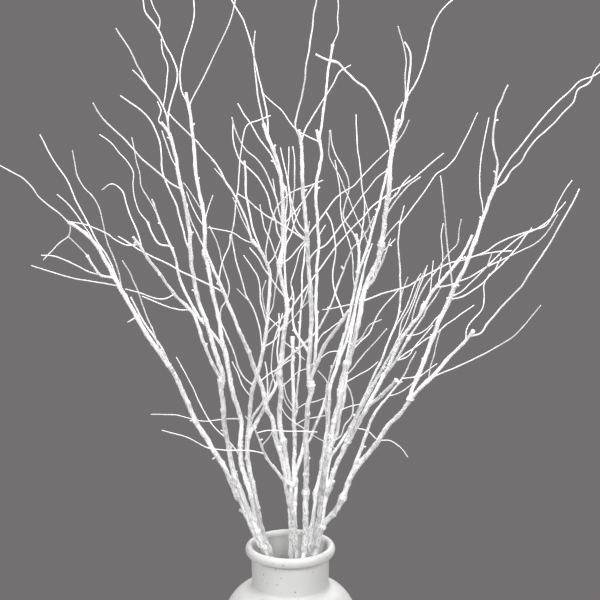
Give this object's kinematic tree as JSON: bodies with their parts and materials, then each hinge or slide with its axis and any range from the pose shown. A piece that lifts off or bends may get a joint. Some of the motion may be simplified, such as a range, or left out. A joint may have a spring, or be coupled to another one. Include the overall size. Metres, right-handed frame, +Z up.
{
  "type": "willow stems in a vase",
  "caption": "Bunch of white painted curly willow stems, branching and crooked, standing in a round-shouldered speckled ceramic vase with a rolled lip.",
  "frame": {"origin": "centre of the vase's foot, on the surface it stands on", "axes": "+Z up along the vase's axis, -Y towards the side that the picture shows, +X to its right"},
  "size_m": [0.6719, 0.4276, 0.8399],
  "materials": {
    "vase_glaze": "satin white glaze with scattered dark specks",
    "white_bark": "matt white paint over wrinkled bark"
  },
  "bodies": {
    "root": {"vase": "vase_glaze", "stem_outer_left": "white_bark", "stem_left_knotted": "white_bark", "stem_left_inner": "white_bark", "stem_left_forked": "white_bark", "stem_centre_left": "white_bark", "stem_centre_tall": "white_bark", "stem_centre_back": "white_bark", "stem_centre_right": "white_bark", "stem_right_centre": "white_bark", "stem_right_tall": "white_bark", "stem_right": "white_bark", "stem_outer_right": "white_bark"}
  },
  "joints": []
}
